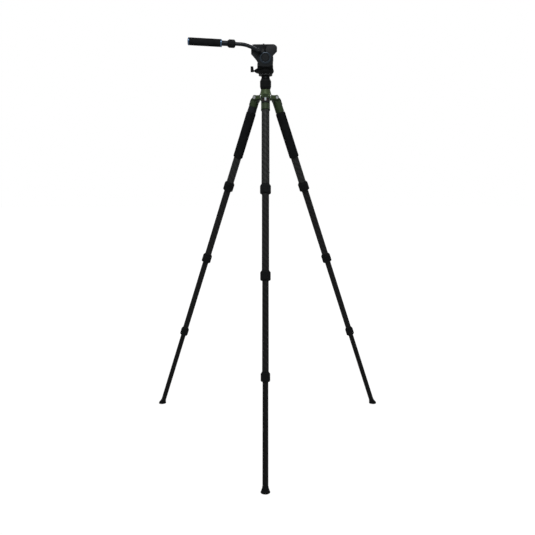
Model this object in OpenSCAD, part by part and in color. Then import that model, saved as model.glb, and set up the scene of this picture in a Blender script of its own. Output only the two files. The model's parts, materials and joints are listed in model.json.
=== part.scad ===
// Travel tripod with three four-section legs, a sliding centre column and a fluid video head.
// The floor is z = 0 and the column stands on the z axis. The front leg points along -Y,
// the pan handle along -X, and the lens of a camera on the head would look along +X.

/* [Stance] */
// Angle of each open leg from the vertical
leg_angle = 20.9; // [20:0.1:21.5]
// Height of the hinge pins above the floor
hip_z = 1256; // [1240:1:1265]
// Distance of the hinge pins from the column's axis
hip_r = 37.2; // [36.8:0.2:38]
// Where each hinge pin sits on its leg, outboard of the leg's own axis and along it
pin_at = [-3.5, 3.4]; // [-4:0.1:4]

/* [Legs] */
// Outer diameter of the four leg tubes, from the top down
tube_d = [28, 25, 22, 19]; // [15:1:30]
// Wall of the leg tubes
tube_wall = 1.2; // [1:0.1:1.2]
// Distance along the leg from the hinge to the top of each twist lock
lock_at = [326.5, 630.7, 967.5]; // [300:1:980]
// Outer diameter of the twist locks
lock_d = [38, 35.6, 31.4]; // [30:0.2:40]
// Length of the twist locks
lock_h = [35, 35, 33]; // [30:1:36]
// How far a tube reaches up into the one above when the leg is drawn out
tube_overlap = 45; // [40:1:50]
// Distance along the leg to the top of the tube in its casting
tube_seat = 34; // [33.5:0.5:35]
// Diameter of the leg castings
casting_d = 32; // [31:0.5:33]
// Distance along the leg to the lower rim of a casting
casting_end = 52; // [50:1:54]
// Distance along the leg from the hinge to the joint of the leg that unscrews as a monopod
monopod_split = 30.4; // [30:0.2:31]
// Diameter of the foam grips on two of the legs
grip_d = 35.5; // [34:0.5:36]
// Distance along the leg to the lower end of the foam grips
grip_end = 227; // [200:1:240]
// Widest radius of the rubber feet
foot_r = 15.5; // [15:0.5:18]

/* [Column] */
// Diameter of the centre column
column_d = 25.5; // [25:0.1:25.6]
// Height of the lower end of the column tube above the floor
column_foot_z = 988; // [960:1:1000]
// Height of the seam between the spider's neck and the column lock
neck_z = 1282.5; // [1281:0.5:1284]
// Diameter of the column lock
column_lock_d = 40.4; // [39:0.2:42]
// Height of the seam between the column's top plate and the head
head_z = 1330; // [1329:0.5:1331]

/* [Head] */
// Height of the tilt axis above the floor
tilt_z = 1388; // [1387:0.5:1390]
// Largest diameter of the pan housing
pan_d = 60; // [58:0.5:60]
// Radius of the tilt drum
drum_r = 28; // [27:0.5:28]
// Distance from the middle plane to the inner face of the cradle's cheeks
cheek_y = 30.2; // [30.2:0.1:31]
// Thickness of the cheeks
cheek_t = 7.8; // [7:0.2:9]
// Radius of the round boss on each cheek
boss_r = 27; // [26:0.5:27.5]

/* [Handle] */
// Distance of the pan handle from the head's middle plane
handle_y = 47; // [46.5:0.5:49]
// Diameter of the bent handle rod
rod_d = 13; // [12:0.5:13]
// Diameter of the sliding handle tube
handle_tube_d = 18.4; // [17:0.2:19]
// Diameter of the handle's foam grip
handle_grip_d = 27; // [25:0.5:29]
// Length of the sliding part from its lock to the end of the grip
handle_len = 166; // [150:1:180]
// Slope of the straight part of the handle
handle_slope = 3.4; // [3:0.2:4]

/* [Hidden] */
$fn = 72;
FRONT = -90;
RIGHT = 30;
LEFT = 150;
gap = 0.3;           // running clearance between parts that slide or turn on each other
fit = 0.05;          // radial clearance of a pin in its bore
eps = 0.01;          // overlap that makes two shapes of one part meet

olive = "#55683a";
carbon = "#3b3a38";
black = "#232426";
rubber = "#1b1c1d";
steel = "#c9ccd0";
anodised = "#4d6072";

tube_r = tube_d / 2;
casting_r = casting_d / 2;
tube_top = [for (n = [0:3]) n == 0 ? tube_seat : lock_at[n - 1] + 0.63 * lock_h[n - 1] - tube_overlap];
foot_s = (hip_z - pin_at[0] * sin(leg_angle)) / cos(leg_angle) - pin_at[1];
foot_cuff_s = foot_s - 17.5;
tube_end = [for (n = [0:3]) n == 3 ? foot_s - 13 : lock_at[n] + 0.63 * lock_h[n]];

hinge_pin_r = 4;
knuckle_r = 8.4;
tongue_t = 11.2;     // half width of the casting's tongue
ear_in = 11.6;       // where the spider's ears begin and end, either side of the leg's plane
ear_out = 17;
column_r = column_d / 2;
column_bore_r = column_r + gap;
hub_r = 24.5;
hub_z = 1241;
stop_s = [10.5, 28.5];
stop_x = 9.8;

deck_z = tilt_z + 36;      // floor of the plate channel
rim_z = tilt_z + 43.5;     // top of the cheeks and jaws
plate_z = rim_z + gap;     // underside of the plate's slab
pad_z = plate_z + 5.4;     // face that the camera rests on
cheek_out = cheek_y + cheek_t;
boss_y = cheek_out + 2;
screw_x = -6.5;            // camera screw, at the middle of the plate
pan_lever_z = 1348;
eye = [-24, tilt_z + 25];  // pivot of the pan handle
rise = 22;                 // slope of the handle's first stretch
first_run = 36.5;
bend_r = 90;
bend_end = [eye[0] - first_run * cos(rise) - bend_r * (sin(rise) - sin(handle_slope)),
            eye[1] + first_run * sin(rise) + bend_r * (cos(handle_slope) - cos(rise))];
collar_h = 18.6;           // start of the handle lock, measured from the end of the bend
clamp_x = -2;
clamp_z = tilt_z + 39.5;
base_top = tilt_z - 51.9;  // top of the head's base
pan_floor = base_top + 0.4;

// Points of an arc about centre c, from angle a to angle b
function arc(c, r, a, b, steps = 6) =
    [for (k = [0:steps]) c + r * [cos(a + (b - a) * k / steps), sin(a + (b - a) * k / steps)]];

// Stands its children on a leg: -Z runs down the leg's own axis from beside the hinge, +X points outward
module on_leg(azimuth)
    rotate([0, 0, azimuth]) translate([hip_r, 0, hip_z]) rotate([0, -leg_angle, 0])
        translate([-pin_at[0], 0, -pin_at[1]]) children();

// Round bar down the leg's axis, between two distances from the hinge
module bar(from, to, r) translate([0, 0, -to]) cylinder(h = to - from, r = r);

// Round bar along Y
module cross_bar(x, z, r, y0, y1) translate([x, y0, z]) rotate([-90, 0, 0]) cylinder(h = y1 - y0, r = r);

// Profile in X and Z, extruded along Y
module slice(y0, y1) translate([0, y1, 0]) rotate([90, 0, 0]) linear_extrude(y1 - y0) children();

// ---- Spider and hinges ----

module spider_ear()
    slice(ear_in, ear_out) {
        translate([hip_r, hip_z]) circle(r = 8.5);
        polygon([[10, hip_z - 4.5], [16, hip_z - 4.7], [hip_r, hip_z - 8.5], [hip_r, hip_z + 8.5],
                 [hip_r - 8, hip_z + 7], [10, hip_z + 7]]);
    }

module spider()
    color(olive) difference() {
        union() {
            rotate_extrude() polygon([
                [10, hub_z], [16, hub_z], [hub_r, hub_z + 9.5], [hub_r, hip_z + 5], [22, hip_z + 9.5],
                [20.2, hip_z + 12.5], [18.2, hip_z + 20], [16.8, neck_z], [15.5, neck_z], [15.5, neck_z + 21],
                [10, neck_z + 21]
            ]);
            for (a = [FRONT, RIGHT, LEFT]) rotate([0, 0, a]) {
                spider_ear();
                mirror([0, 1, 0]) spider_ear();
            }
        }
        translate([0, 0, hub_z - 1]) cylinder(h = 80, r = column_bore_r);
        for (a = [FRONT, RIGHT, LEFT]) rotate([0, 0, a])
            cross_bar(hip_r, hip_z, hinge_pin_r + fit, -20, 20);
    }

module hinge_pins()
    color(steel) for (a = [FRONT, RIGHT, LEFT]) rotate([0, 0, a]) {
        cross_bar(hip_r, hip_z, hinge_pin_r, -ear_out, ear_out);
        for (side = [0, 1]) mirror([0, side, 0]) difference() {
            cross_bar(hip_r, hip_z, 5.8, ear_out, ear_out + 2.2);
            translate([hip_r, ear_out + 1, hip_z]) rotate([-90, 0, 0]) cylinder(h = 4, r = 2.6, $fn = 6);
        }
    }

// ---- Legs ----

// Flank of the neck between the knuckle and the body of a casting
module casting_neck()
    slice(-tongue_t, tongue_t) {
        translate(pin_at) circle(r = knuckle_r);
        polygon([[-13, -12], [-14, -1], [pin_at[0] - 8, pin_at[1] + 2], [pin_at[0], pin_at[1] + 8],
                 [pin_at[0] + 6.5, pin_at[1] + 5], [9, -2.4], [11.4, -5.6], [12.6, -12]]);
    }

module casting(azimuth, end)
    color(olive) on_leg(azimuth) difference() {
        union() {
            casting_neck();
            translate([0, 0, -end]) rotate_extrude() polygon([
                [0, 0], [casting_r + 0.2, 0], [casting_r + 0.2, 4], [casting_r - 0.2, 4.6],
                [casting_r - 0.2, end - 13.5], [casting_r - 3.5, end - 10], [0, end - 10]
            ]);
            if (end < tube_seat) bar(end - 1, end + 3, 5);
        }
        cross_bar(pin_at[0], pin_at[1], hinge_pin_r + fit, -20, 20);
        if (end > tube_seat) bar(tube_seat, end + 1, tube_r[0] + fit);
        translate([stop_x - gap, -13.3, -stop_s[1] - gap]) cube([20, 26.6, stop_s[1] - stop_s[0] + 2 * gap]);
    }

// Threaded sleeve at the top of the leg that unscrews for use as a monopod
module monopod_collar()
    color(black) on_leg(LEFT) difference() {
        translate([0, 0, -casting_end - 2]) rotate_extrude() polygon([
            [0, 0], [casting_r - 0.2, 0], [casting_r + 0.2, 1.4], [casting_r + 0.2, 8], [casting_r - 0.2, 9],
            [casting_r - 0.2, casting_end + 2 - monopod_split - 1], [casting_r - 1, casting_end + 2 - monopod_split],
            [0, casting_end + 2 - monopod_split]
        ]);
        bar(monopod_split - 1, monopod_split + 3.1, 5 + fit);
        bar(tube_seat, casting_end + 3, tube_r[0] + fit);
        for (k = [0:23]) rotate([0, 0, k * 15]) translate([casting_r + 0.9, 0, 0]) bar(35, 44, 0.9);
    }

// Spring catch that sets the spread of a leg
module angle_stop(azimuth)
    color(black) on_leg(azimuth) difference() {
        intersection() {
            translate([stop_x, -13, -stop_s[1]]) cube([7.2, 26, stop_s[1] - stop_s[0]]);
            bar(0, 40, casting_r + 1);
        }
        for (side = [-1, 1]) translate([stop_x + 3.8, side * 7.5 - 3.8, -stop_s[1] + 3])
            cube([5, 7.6, stop_s[1] - stop_s[0] - 6]);
        translate([stop_x + 7.2, 0, -stop_s[0] + 1]) rotate([0, 45, 0]) cube([3, 40, 3], center = true);
        translate([stop_x + 7.2, 0, -stop_s[1] - 1]) rotate([0, 45, 0]) cube([3, 40, 3], center = true);
    }

module leg_tube(azimuth, n)
    color(carbon) on_leg(azimuth) difference() {
        bar(tube_top[n], tube_end[n], tube_r[n]);
        bar(tube_top[n] - 1, tube_end[n] + 1, tube_r[n] - tube_wall);
    }

// Barrel of a twist lock: stepped bore, rounded shoulders and a ring of finger flutes
module twist_lock(azimuth, n) {
    r = lock_d[n] / 2;
    h = lock_h[n];
    step = lock_at[n] + h - tube_end[n] - gap;
    color(rubber) on_leg(azimuth) difference() {
        translate([0, 0, -lock_at[n] - h]) rotate_extrude() polygon(concat(
            [[tube_r[n + 1] + gap, 0], [tube_r[n + 1] + 2.2, 0]],
            arc([r - 4, 5], 4, -50, 0, 4), arc([r - 6, h - 8], 6, 0, 62, 5),
            [[tube_r[n] + 1.4, h], [tube_r[n] + gap, h], [tube_r[n] + gap, step], [tube_r[n + 1] + gap, step]]
        ));
        for (k = [0:11]) rotate([0, 0, k * 30]) translate([r + 1.3, 0, 0])
            bar(lock_at[n] + 10, lock_at[n] + h - 7, 2);
    }
}

// Rubber foot whose sole lies flat on the floor
module foot(azimuth)
    color(rubber) difference() {
        on_leg(azimuth) difference() {
            translate([0, 0, -foot_s]) rotate_extrude() polygon([
                [0, -20], [foot_r, -20], [foot_r, 0.5], [foot_r - 0.7, 2], [tube_r[3] + 1.3, 12.5],
                [tube_r[3] + 0.7, 15], [tube_r[3] + 0.7, 17], [tube_r[3] + 0.4, 17.5], [0, 17.5]
            ]);
            bar(foot_cuff_s - 1, tube_end[3] + fit, tube_r[3] + fit);
        }
        translate([-700, -700, -60]) cube([1400, 1400, 60]);
    }

module leg_grip(azimuth)
    color(rubber) on_leg(azimuth) translate([0, 0, -grip_end]) rotate_extrude() polygon([
        [tube_r[0] + fit, 0], [grip_d / 2 - 1.6, 0], [grip_d / 2, 2], [grip_d / 2, grip_end - casting_end - 5],
        [grip_d / 2 - 1.6, grip_end - casting_end - 3], [tube_r[0] + fit, grip_end - casting_end - 3]
    ]);

// ---- Centre column ----

module column_tube()
    color(carbon) translate([0, 0, column_foot_z]) difference() {
        cylinder(h = head_z - 10.5 - column_foot_z, r = column_r);
        translate([0, 0, -1]) cylinder(h = 400, r = column_r - 1.4);
    }

module column_top_plate()
    color(black) rotate_extrude() polygon([
        [0, head_z - 31], [column_r - 1.4 - fit, head_z - 31], [column_r - 1.4 - fit, head_z - 10.5],
        [15.2, head_z - 10.5], [15.8, head_z - 9.6], [15.6, head_z - 8], [14.8, head_z - 5.5],
        [14.8, head_z - 3.5], [16, head_z - 1.4], [16, head_z], [4.7, head_z], [4.7, head_z + 12], [0, head_z + 12]
    ]);

module column_lock() {
    top = head_z - 11 - neck_z;
    r = column_lock_d / 2;
    color(rubber) translate([0, 0, neck_z]) difference() {
        rotate_extrude() polygon([
            [15.5 + gap, gap], [16.8, gap], [17.4, 1.6], [19, 5], [r - 0.5, 8], [r, 11], [r, top - 8],
            [r - 0.5, top - 4], [18.4, top - 1.6], [16.8, top], [column_bore_r, top], [column_bore_r, 21 + gap],
            [15.5 + gap, 21 + gap]
        ]);
        for (k = [0:17]) rotate([0, 0, k * 20]) translate([r + 1.3, 0, 10]) cylinder(h = top - 20, r = 2);
    }
}

module column_end_cap()
    color(black) difference() {
        rotate_extrude() polygon([
            [0, column_foot_z - 6], [11, column_foot_z - 6], [14.2, column_foot_z - 4], [14.2, column_foot_z],
            [column_r - 1.4 - fit, column_foot_z], [column_r - 1.4 - fit, column_foot_z + 16],
            [0, column_foot_z + 16]
        ]);
        translate([0, 0, column_foot_z - 7]) cylinder(h = 30, r = 2.3 + fit);
    }

module bag_hook() {
    eye_z = column_foot_z - 20;
    color(steel) {
        translate([0, 0, eye_z + 9]) cylinder(h = 44, r = 2.3);
        translate([0, 0, column_foot_z + 30]) cylinder(h = 3, r = 5);
        translate([0, 0, eye_z]) rotate([90, 0, 0]) rotate([0, 0, 90]) rotate_extrude(angle = 285)
            translate([9, 0]) circle(r = 2);
    }
}

// ---- Fluid head: base, pan housing and its lock ----

module head_base()
    color(black) difference() {
        rotate_extrude() polygon([
            [0, head_z], [23.6, head_z], [24.4, head_z + 0.8], [24.4, base_top], [10, base_top],
            [10, base_top + 10], [0, base_top + 10]
        ]);
        translate([0, 0, head_z - 1]) cylinder(h = 13.2, r = 4.7 + fit);
    }

module pan_housing()
    color(black) difference() {
        union() {
            translate([0, 0, tilt_z]) rotate_extrude() polygon(concat(
                [[0, pan_floor - tilt_z], [24.8, pan_floor - tilt_z], [28.8, -45.8], [pan_d / 2, -43.4],
                 [pan_d / 2 - 0.3, -38]],
                arc([pan_d / 2 - 5, -35], 3.4, 0, 90, 4), [[0, -31.6]]
            ));
            intersection() {
                slice(-cheek_y + 0.4, cheek_y - 0.4) {
                    translate([0, tilt_z]) circle(r = drum_r);
                    translate([0, tilt_z]) polygon([
                        [-29.2, -36], [-29.2, -17], [-27.6, -12.5], [-22, -8], [0, 0], [21, -13], [24.4, -17.5],
                        [25, -20.5], [27.2, -25], [27.6, -36]
                    ]);
                }
                translate([0, 0, tilt_z - 38]) cylinder(h = 80, r = 34);
            }
            translate([-38.6, 0, pan_lever_z]) rotate([0, 90, 0]) cylinder(h = 8.6, r1 = 4.6, r2 = 9.3);
            translate([-30.1, 0, pan_lever_z]) rotate([0, 90, 0]) cylinder(h = 8, r = 9.3);
        }
        cross_bar(0, tilt_z, 8 + fit, -40, 40);
        translate([0, 0, pan_floor - 1]) cylinder(h = 11.2, r = 10 + fit);
        translate([-40, 0, pan_lever_z]) rotate([0, 90, 0]) cylinder(h = 22, r = 3 + fit);
    }

module pan_lever()
    color(black) {
        translate([-45, 0, pan_lever_z]) rotate([0, 90, 0]) cylinder(h = 26, r = 3);
        hull() {
            translate([-53.6, 0, pan_lever_z]) rotate([0, 90, 0]) cylinder(h = 11, r = 4.6, $fn = 28);
            translate([-53.6, 0, pan_lever_z + 12.2]) rotate([0, 90, 0]) cylinder(h = 9.4, r = 4, $fn = 28);
        }
    }

// ---- Fluid head: cradle that tilts ----

// Full round above the tilt axis and a squarer one below it
module boss_outline(inset)
    translate([0, tilt_z]) {
        circle(r = boss_r - inset);
        for (side = [-1, 1]) translate([side * (boss_r - 18), -13]) circle(r = 18 - inset);
        translate([18 - boss_r, inset - 31]) square([2 * boss_r - 36, 31 - inset]);
        translate([inset - boss_r, -13]) square([2 * (boss_r - inset), 13]);
    }

// The far cheek's two wings are cut higher than the near one's
module cheek_outline(rise) {
    boss_outline(0);
    translate([0, tilt_z])
        polygon(concat(
            [[20, -12], [27.2, -1], [27.4, rise + 8], [41, rise + 21.5]],
            arc([32.5, 35], 8.5, 0, 90, 5),
            [[-47, 43.5], [-50.3, 40.2], [-50.3, rise + 13], [-36.8, rise - 2], [-30.8, rise - 9.5],
             [-27.6, min(rise - 16, -10)], [-20, -17]]
        ));
}

module bridge_outline()
    translate([0, tilt_z]) polygon([
        [-34, 32], [-24, 32], [-20, drum_r + 0.6], [20, drum_r + 0.6], [24, 32], [38, 32], [41.4, 34],
        [41.4, 36], [-34, 36]
    ]);

// Sloped jaw that grips the quick plate, in Y and Z
module jaw_section(outer)
    translate([0, tilt_z]) polygon([
        [19.4, 36], [outer, 36], [outer, 43.5], [16.4, 43.5], [16.4, 41.5], [19.4, 38.4]
    ]);

// Section in Y and Z, extruded along X
module rail(x0, x1) translate([x0, 0, 0]) rotate([90, 0, 90]) linear_extrude(x1 - x0) children();

module tilt_cradle()
    color(black) difference() {
        union() {
            slice(-cheek_out, -cheek_y) cheek_outline(0);
            slice(cheek_y, cheek_out) cheek_outline(11);
            slice(-boss_y, -cheek_y) boss_outline(1.2);
            slice(cheek_y, boss_y) boss_outline(1.2);
            slice(-cheek_y - 1, cheek_y + 1) bridge_outline();
            rail(-34, 36) jaw_section(cheek_y + 1);
        }
        slice(-cheek_y, cheek_y) translate([0, tilt_z]) circle(r = drum_r + 0.5);
        slice(-boss_y - 1, boss_y + 1) translate([0, tilt_z]) circle(r = 8 + fit);
        cross_bar(eye[0], eye[1], 3.5 + fit, -cheek_out - 1, -cheek_out + 6);
        cross_bar(clamp_x, clamp_z, 2.5 + fit, -cheek_out - 1, -cheek_y + 1);
        translate([-44.5, -cheek_out + 1.4, tilt_z + 19]) rotate([90, 0, 0]) cylinder(h = 3, r = 2);
        translate([-44.5, -cheek_out + 1.4, tilt_z + 35]) rotate([90, 0, 0]) cylinder(h = 3, r = 2);
    }

module tilt_shaft()
    color(steel) {
        cross_bar(0, tilt_z, 8, -boss_y, boss_y);
        cross_bar(0, tilt_z, 5, boss_y, boss_y + 9);
    }

module tilt_cap()
    color(black) translate([0, -boss_y, tilt_z]) rotate([90, 0, 0]) rotate_extrude() polygon([
        [0, 0], [14, 0], [14, 2.6], [12.8, 3.6], [0, 3.6]
    ]);

module tilt_cap_ring()
    color(anodised) translate([0, -boss_y, tilt_z]) rotate([90, 0, 0]) rotate_extrude() polygon([
        [14.2, 0], [21.5, 0], [21.5, 1.2], [19.5, 3.2], [16.4, 4.4], [15, 4.4], [14.2, 3.6]
    ]);

module tilt_lever()
    color(black) translate([0, boss_y, tilt_z]) rotate([-90, 0, 0]) {
        difference() {
            union() {
                translate([0, 0, gap]) cylinder(h = 11.5, r1 = 11, r2 = 9.5);
                hull() {
                    translate([0, 4, 4]) cylinder(h = 6.5, r = 7, $fn = 32);
                    translate([0, 23, 7]) cylinder(h = 5, r = 4, $fn = 32);
                }
            }
            translate([0, 0, -1]) cylinder(h = 10.3, r = 5 + fit);
        }
    }

// ---- Quick-release clamp ----

module plate_jaw()
    color(black) difference() {
        rail(-33, 35) mirror([1, 0]) intersection() {
            jaw_section(27);
            translate([0, deck_z + gap]) square([40, 20]);
        }
        cross_bar(clamp_x, clamp_z, 2.5 + gap, -28, -22);
    }

module clamp_lever()
    color(black) {
        cross_bar(clamp_x, clamp_z, 2.5, -cheek_out - 1, -24);
        cross_bar(clamp_x, clamp_z, 4.5, -cheek_out - 8, -cheek_out - gap);
        hull() {
            cross_bar(clamp_x, clamp_z, 3.4, -cheek_out - 8, -cheek_out - 3.5, $fn = 28);
            cross_bar(clamp_x, clamp_z - 13.5, 3, -cheek_out - 8, -cheek_out - 3.5, $fn = 28);
        }
    }

module quick_plate()
    color(black) difference() {
        union() {
            rail(-47, 34) translate([0, deck_z + gap]) polygon([
                [-19, 0], [19, 0], [19, 2], [16, 5], [16, 8], [-16, 8], [-16, 5], [-19, 2]
            ]);
            translate([screw_x, 0, plate_z]) linear_extrude(3.9) for (side = [-1, 1]) {
                translate([side * 36, 0]) square([9, 36], center = true);
                square([72, 48], center = true);
                for (corner = [-1, 1]) translate([side * 34.5, corner * 18]) circle(r = 6);
            }
        }
        translate([screw_x, 0, deck_z]) cylinder(h = 5.3, r = 8);
        translate([screw_x, 0, deck_z]) cylinder(h = 20, r = 3.175 + 0.25);
    }

module plate_pads()
    color(rubber) for (side = [-1, 1]) translate([screw_x, side * 14.5, plate_z + 3.9 + 0.65])
        cube([72, 13, 1.3], center = true);

module camera_screw()
    color(steel) translate([screw_x, 0, 0]) {
        difference() {
            translate([0, 0, deck_z + 2]) cylinder(h = 3, r = 7.2);
            translate([-10, -0.8, deck_z + 1]) cube([20, 1.6, 2.2]);
        }
        translate([0, 0, deck_z + 5 - eps]) cylinder(h = pad_z - deck_z - 5, r = 2.9);
        translate([0, 0, pad_z + 0.1]) cylinder(h = 4.9, r = 3.175);
        translate([0, 0, pad_z - 0.5]) cylinder(h = 0.7, r = 2.9);
    }

// ---- Pan handle ----

module handle_rosette()
    color(steel) difference() {
        cross_bar(eye[0], eye[1], 8.2, -cheek_out - 2.2, -cheek_out);
        cross_bar(eye[0], eye[1], 3.5 + fit, -cheek_out - 3, -cheek_out + 1);
    }

module handle_bolt()
    color(steel) difference() {
        union() {
            cross_bar(eye[0], eye[1], 3.5, -handle_y - 8, -cheek_out + 5);
            cross_bar(eye[0], eye[1], 5.6, -handle_y - 10.2, -handle_y - 7.1);
        }
        translate([eye[0], -handle_y - 11, eye[1]]) rotate([-90, 0, 0]) cylinder(h = 3, r = 2.6, $fn = 6);
    }

// Stands its children at the end of the handle's bend, with +Z along the straight part
module on_handle()
    translate([bend_end[0], -handle_y, bend_end[1]]) rotate([0, -90 + handle_slope, 0]) children();

// The bend is a hair thicker than the rod, and the straight runs end inside it
module handle_arm()
    color(black) difference() {
        union() {
            cross_bar(eye[0], eye[1], 8.5, -handle_y - 6.9, -cheek_out - 2.4);
            translate([eye[0], -handle_y, eye[1]]) rotate([0, -90 + rise, 0])
                cylinder(h = first_run + 1, r = rod_d / 2);
            translate([bend_end[0], -handle_y, bend_end[1]]) rotate([90, 0, 0]) rotate([0, 0, -handle_slope])
                translate([0, -bend_r]) rotate([0, 0, 90 - rise + handle_slope])
                    rotate_extrude(angle = rise - handle_slope) translate([bend_r, 0]) circle(r = rod_d / 2 + 0.1);
            on_handle() translate([0, 0, -1]) cylinder(h = 133, r = rod_d / 2);
        }
        cross_bar(eye[0], eye[1], 3.5 + fit, -handle_y - 10, -cheek_out);
    }

module handle_tube()
    color(carbon) on_handle() difference() {
        translate([0, 0, collar_h + 8]) cylinder(h = handle_len - 10, r = handle_tube_d / 2);
        translate([0, 0, collar_h + 7]) cylinder(h = handle_len - 12, r = rod_d / 2 + gap);
    }

module handle_collar()
    color(rubber) on_handle() translate([0, 0, collar_h]) difference() {
        rotate_extrude() polygon([
            [rod_d / 2 + gap, 0], [8.6, 0], [12.8, 2.4], [14.2, 6], [14.2, 21], [13, 25], [10.4, 27.6],
            [handle_tube_d / 2 + gap, 27.6], [handle_tube_d / 2 + gap, 8 - gap], [rod_d / 2 + gap, 8 - gap]
        ]);
        for (k = [0:11]) rotate([0, 0, k * 30]) translate([15.5, 0, 5]) cylinder(h = 16, r = 2);
    }

module handle_grip()
    color(rubber) on_handle() translate([0, 0, collar_h + 51.5]) rotate_extrude() polygon([
        [handle_tube_d / 2 + fit, 0], [handle_grip_d / 2 - 1, 0], [handle_grip_d / 2, 1.5],
        [handle_grip_d / 2, handle_len - 57.5], [handle_grip_d / 2 - 1, handle_len - 56],
        [handle_tube_d / 2 + fit, handle_len - 56]
    ]);

module handle_grip_rings()
    color(anodised) on_handle() {
        translate([0, 0, collar_h + 47.1]) rotate_extrude() polygon([
            [handle_tube_d / 2 + fit, 0], [handle_grip_d / 2 - 0.8, 0], [handle_grip_d / 2 + 0.4, 1.2],
            [handle_grip_d / 2 + 0.4, 4.4], [handle_tube_d / 2 + fit, 4.4]
        ]);
        translate([0, 0, collar_h + handle_len - 4.5]) rotate_extrude() polygon([
            [handle_tube_d / 2 + fit, 0], [handle_grip_d / 2 + 0.4, 0], [handle_grip_d / 2 + 0.4, 3.2],
            [handle_grip_d / 2 - 1.4, 5.4], [0, 5.4], [0, 2.5 + fit], [handle_tube_d / 2 + fit, 2.5 + fit]
        ]);
    }

spider();
hinge_pins();
casting(FRONT, casting_end);  // casting_front
casting(RIGHT, casting_end);  // casting_right
casting(LEFT, monopod_split - gap);  // casting_left
monopod_collar();
angle_stop(FRONT);  // angle_stop_front
angle_stop(RIGHT);  // angle_stop_right
angle_stop(LEFT);  // angle_stop_left
leg_tube(FRONT, 0);  // upper_tube_front
leg_tube(RIGHT, 0);  // upper_tube_right
leg_tube(LEFT, 0);  // upper_tube_left
leg_tube(FRONT, 1);  // second_tube_front
leg_tube(RIGHT, 1);  // second_tube_right
leg_tube(LEFT, 1);  // second_tube_left
leg_tube(FRONT, 2);  // third_tube_front
leg_tube(RIGHT, 2);  // third_tube_right
leg_tube(LEFT, 2);  // third_tube_left
leg_tube(FRONT, 3);  // lower_tube_front
leg_tube(RIGHT, 3);  // lower_tube_right
leg_tube(LEFT, 3);  // lower_tube_left
twist_lock(FRONT, 0);  // upper_lock_front
twist_lock(RIGHT, 0);  // upper_lock_right
twist_lock(LEFT, 0);  // upper_lock_left
twist_lock(FRONT, 1);  // middle_lock_front
twist_lock(RIGHT, 1);  // middle_lock_right
twist_lock(LEFT, 1);  // middle_lock_left
twist_lock(FRONT, 2);  // lower_lock_front
twist_lock(RIGHT, 2);  // lower_lock_right
twist_lock(LEFT, 2);  // lower_lock_left
foot(FRONT);  // foot_front
foot(RIGHT);  // foot_right
foot(LEFT);  // foot_left
leg_grip(RIGHT);  // leg_grip_right
leg_grip(LEFT);  // leg_grip_left
column_tube();
column_top_plate();
column_lock();
column_end_cap();
bag_hook();
head_base();
pan_housing();
pan_lever();
tilt_cradle();
tilt_shaft();
tilt_cap();
tilt_cap_ring();
tilt_lever();
plate_jaw();
quick_plate();
plate_pads();
camera_screw();
clamp_lever();
handle_rosette();
handle_bolt();
handle_arm();
handle_tube();
handle_collar();
handle_grip();
handle_grip_rings();
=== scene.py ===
# %% [markdown]
# # A travel tripod with a fluid video head
#
# The real object stands about 1.44 m tall. Three legs of four carbon tubes each hang from an olive shoulder
# of machined aluminium, twist locks of moulded rubber hold the tubes, and a black fluid head with a long
# pan handle sits on top. The rigid solids were drawn in CAD and arrive as a fixed frame, from which the
# pieces made here take their places. This lesson adds what CAD leaves out: rounded edges, fluted rubber,
# foam, woven tubes, a cut thread, small screws, and the light.

# %% Load the measured frame
import json
import math

import bmesh
import bpy
from mathutils import Matrix, Vector, noise


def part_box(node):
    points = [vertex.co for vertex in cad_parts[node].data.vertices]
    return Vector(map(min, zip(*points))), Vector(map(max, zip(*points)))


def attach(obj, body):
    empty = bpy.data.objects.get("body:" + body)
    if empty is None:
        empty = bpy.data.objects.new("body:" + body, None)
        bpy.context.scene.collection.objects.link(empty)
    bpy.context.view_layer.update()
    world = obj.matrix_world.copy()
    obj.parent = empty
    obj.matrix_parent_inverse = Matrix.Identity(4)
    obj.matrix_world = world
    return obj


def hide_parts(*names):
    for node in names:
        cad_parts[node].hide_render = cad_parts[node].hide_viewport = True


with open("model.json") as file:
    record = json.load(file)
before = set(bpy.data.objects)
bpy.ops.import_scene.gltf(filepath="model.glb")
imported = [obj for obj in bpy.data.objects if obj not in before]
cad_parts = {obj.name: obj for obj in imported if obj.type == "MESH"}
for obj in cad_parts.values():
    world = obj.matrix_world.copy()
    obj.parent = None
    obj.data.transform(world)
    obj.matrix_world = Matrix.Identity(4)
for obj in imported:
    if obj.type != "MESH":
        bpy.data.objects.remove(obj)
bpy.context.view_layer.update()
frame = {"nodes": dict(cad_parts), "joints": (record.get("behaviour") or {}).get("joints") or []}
nodes = frame["nodes"]
joints = {joint["name"]: joint for joint in frame["joints"]}
MM = 0.001
TAU = 2 * math.pi
LEGS = ("front", "right", "left")

# %% [markdown]
# ## Where the pieces stand
#
# Every leg, the handle and the tilt axis point their own way. A piece is easiest to draw upright about its
# own Z axis, so each of these gets one placement matrix, worked out from the joints of the frame: the slide
# of a tube says which way its leg runs, and the hinge at its top says where it starts.

# %% Placement matrices from the joints
def pivot(name):
    """Point that a joint turns about."""
    return Vector(joints[name]["pos_m"])


def direction(name):
    """Unit vector that a joint turns about or slides along."""
    return Vector(joints[name]["axis"]).normalized()


def stand(origin, x, z):
    """Matrix that stands a piece at origin with its own X and Z axes along x and z."""
    rows = Matrix((x, z.cross(x), z)).transposed()
    return Matrix.Translation(origin) @ rows.to_4x4()


def leg_place(leg):
    """-Z runs down the leg, +X points away from the column, and the origin is beside the leg's hinge."""
    down = direction(f"section_2_{leg}_slide")
    outward = direction(f"leg_{leg}_fold").cross(down)
    hinge, lock = pivot(f"leg_{leg}_fold"), pivot(f"upper_lock_{leg}_twist")
    return stand(lock - down * (lock - hinge).dot(down), outward, -down)


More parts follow.
